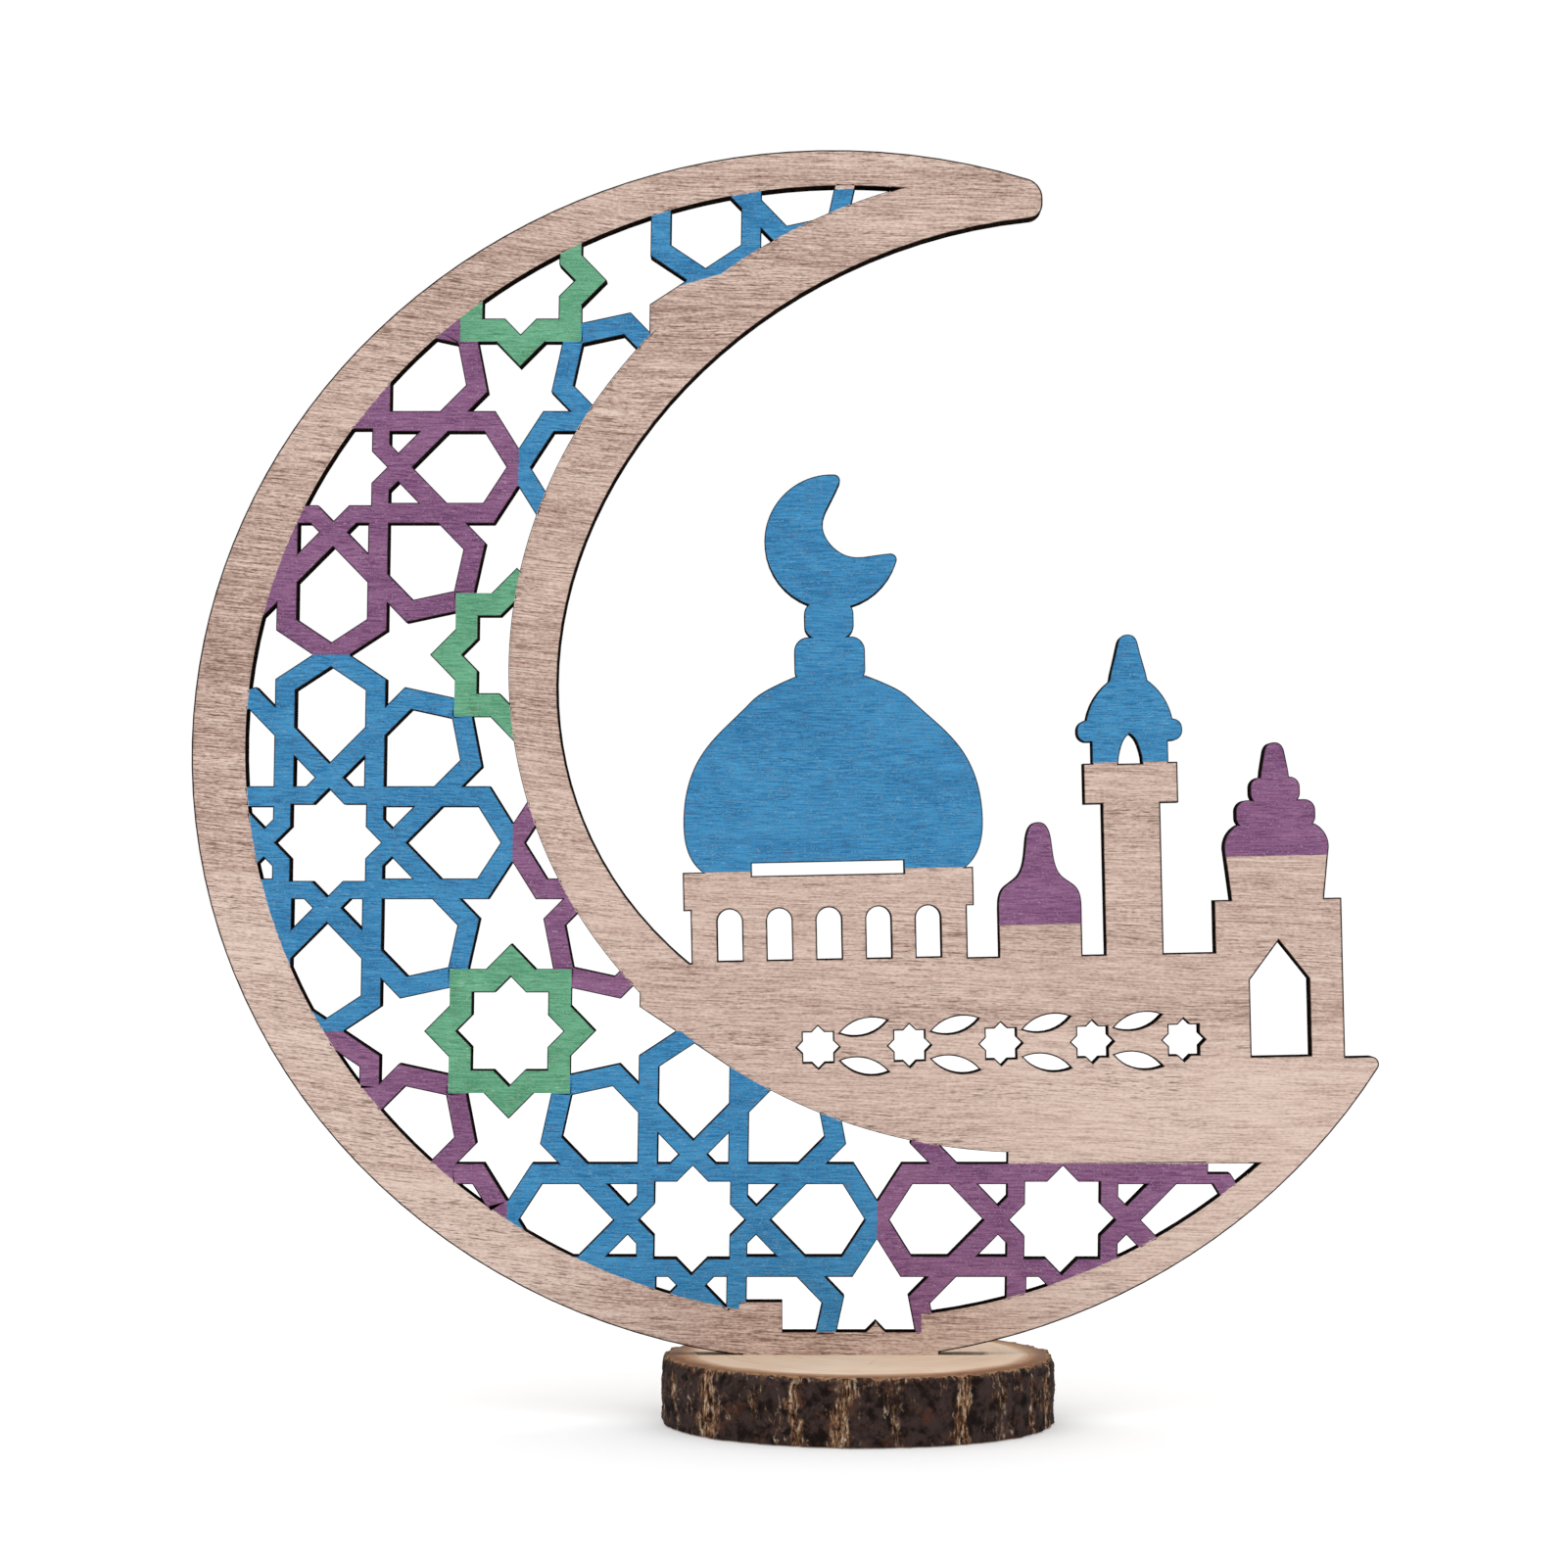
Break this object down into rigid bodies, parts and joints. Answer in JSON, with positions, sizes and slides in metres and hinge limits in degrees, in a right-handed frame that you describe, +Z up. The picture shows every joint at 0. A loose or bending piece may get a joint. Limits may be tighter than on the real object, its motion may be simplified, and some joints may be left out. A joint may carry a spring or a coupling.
{
  "type": "eid crescent ornament",
  "caption": "Upright crescent of pierced, printed plywood with a domed skyline and star lattice, standing in the groove of a round wood slice",
  "frame": {"origin": "centre of the wood slice's flat underside, on the surface it stands on", "axes": "+Z up along the panel's height, +X to the viewer's right across the crescent, +Y away from the viewer"},
  "size_m": [0.1508, 0.0493, 0.1617],
  "materials": {
    "plywood": "unvarnished fine-grained veneer, laser-charred cut edges",
    "blue_ink": "matte printed ink",
    "purple_ink": "matte printed ink",
    "green_ink": "matte printed ink",
    "slice_wood": "sanded end grain",
    "inner_bark": "fibrous inner bark",
    "outer_bark": "rough bark"
  },
  "bodies": {
    "base": {"wood_slice": "slice_wood", "inner_bark": "inner_bark", "outer_bark": "outer_bark"},
    "panel": {"pierced_panel": "plywood", "blue_dome": "blue_ink", "blue_minaret_roof": "blue_ink", "blue_rosette_left": "blue_ink", "blue_rosette_upper": "blue_ink", "blue_rosette_top": "blue_ink", "blue_rosette_bottom": "blue_ink", "purple_cupola": "purple_ink", "purple_tower_roof": "purple_ink", "purple_rosette_upper": "purple_ink", "purple_rosette_inner": "purple_ink", "purple_rosette_lower": "purple_ink", "purple_rosette_right": "purple_ink", "green_star_lower": "green_ink", "green_star_middle": "green_ink", "green_star_upper": "green_ink"}
  },
  "joints": [
    {"name": "panel_lift", "type": "slide", "parent": "base", "child": "panel", "axis": [0, 0, 1], "range_m": [0, 0.008]}
  ]
}
